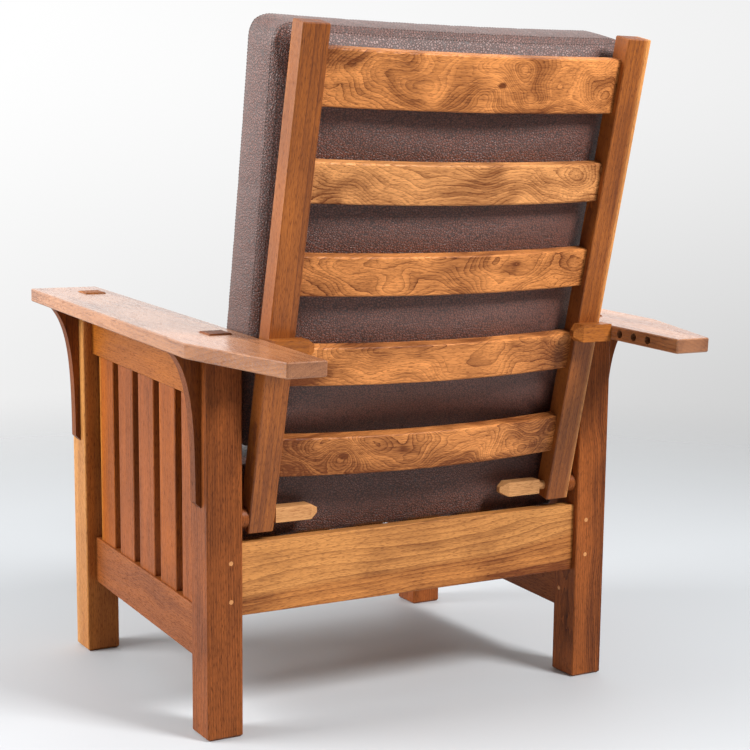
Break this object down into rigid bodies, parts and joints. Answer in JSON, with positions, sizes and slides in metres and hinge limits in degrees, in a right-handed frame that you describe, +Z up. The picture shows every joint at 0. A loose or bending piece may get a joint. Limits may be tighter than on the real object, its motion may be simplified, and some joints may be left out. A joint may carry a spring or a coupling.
{
  "type": "mission reclining armchair",
  "caption": "Wooden reclining armchair with flat tapered arms on corbels, slatted sides, a pegged ladder back leaning on movable pins, and loose leather cushions.",
  "frame": {"origin": "on the floor under the middle of the whole chair's outline", "axes": "+Z up, the sitter faces -Y, +X is the sitter's left"},
  "size_m": [0.794, 0.8285, 1.0114],
  "materials": {
    "walnut": "satin",
    "pale_wood": "satin",
    "leather": "satin",
    "steel": "satin"
  },
  "bodies": {
    "chair_frame": {"leg_front_left": "walnut", "corbel_front_left": "walnut", "leg_rear_left": "walnut", "corbel_rear_left": "walnut", "arm_left": "walnut", "side_upper_rail_left": "walnut", "side_lower_rail_left": "walnut", "spacer_left": "walnut", "side_slat_left_1": "walnut", "side_slat_left_2": "walnut", "side_slat_left_3": "walnut", "side_slat_left_4": "walnut", "side_slat_left_5": "walnut", "leg_front_right": "walnut", "corbel_front_right": "walnut", "leg_rear_right": "walnut", "corbel_rear_right": "walnut", "arm_right": "walnut", "side_upper_rail_right": "walnut", "side_lower_rail_right": "walnut", "spacer_right": "walnut", "side_slat_right_1": "walnut", "side_slat_right_2": "walnut", "side_slat_right_3": "walnut", "side_slat_right_4": "walnut", "side_slat_right_5": "walnut", "front_rail": "walnut", "rear_rail": "walnut", "seat_cleat_front": "walnut", "seat_cleat_rear": "walnut", "deck_screws": "steel", "cleat_screws": "steel", "tenon_pins": "pale_wood", "deck_slat_1": "walnut", "deck_slat_2": "walnut", "deck_slat_3": "walnut", "deck_slat_4": "walnut", "deck_slat_5": "walnut", "deck_slat_6": "walnut"},
    "back_frame": {"back_stile_left": "walnut", "back_stile_right": "walnut", "back_slat_1": "walnut", "back_slat_2": "walnut", "back_slat_3": "walnut", "back_slat_4": "walnut", "back_slat_5": "walnut"},
    "seat_cushion": {"seat_cushion": "leather"},
    "back_cushion": {"back_cushion": "leather"},
    "pivot_peg_left": {"pivot_peg_left": "pale_wood"},
    "support_pin_left": {"support_pin_left": "walnut"},
    "pivot_peg_right": {"pivot_peg_right": "pale_wood"},
    "support_pin_right": {"support_pin_right": "walnut"}
  },
  "joints": [
    {"name": "back_recline", "type": "hinge", "parent": "chair_frame", "child": "back_frame", "pos_m": [0, 0.16065, 0.3163], "axis": [1, 0, 0], "range_deg": [0, 4]},
    {"name": "seat_cushion_slide", "type": "slide", "parent": "chair_frame", "child": "seat_cushion", "axis": [0, -0.997, 0.0769], "range_m": [0, 0.45]},
    {"name": "back_cushion_lift", "type": "slide", "parent": "back_frame", "child": "back_cushion", "axis": [0, 0.2317, 0.9728], "range_m": [0, 0.45]},
    {"name": "pivot_peg_left_pull", "type": "slide", "parent": "chair_frame", "child": "pivot_peg_left", "axis": [-1, 0, 0], "range_m": [0, 0.09]},
    {"name": "support_pin_left_pull", "type": "slide", "parent": "chair_frame", "child": "support_pin_left", "axis": [-1, 0, 0], "range_m": [0, 0.035]},
    {"name": "pivot_peg_right_pull", "type": "slide", "parent": "chair_frame", "child": "pivot_peg_right", "axis": [1, 0, 0], "range_m": [-0.01, 0.08]},
    {"name": "support_pin_right_pull", "type": "slide", "parent": "chair_frame", "child": "support_pin_right", "axis": [1, 0, 0], "range_m": [0, 0.035]}
  ]
}
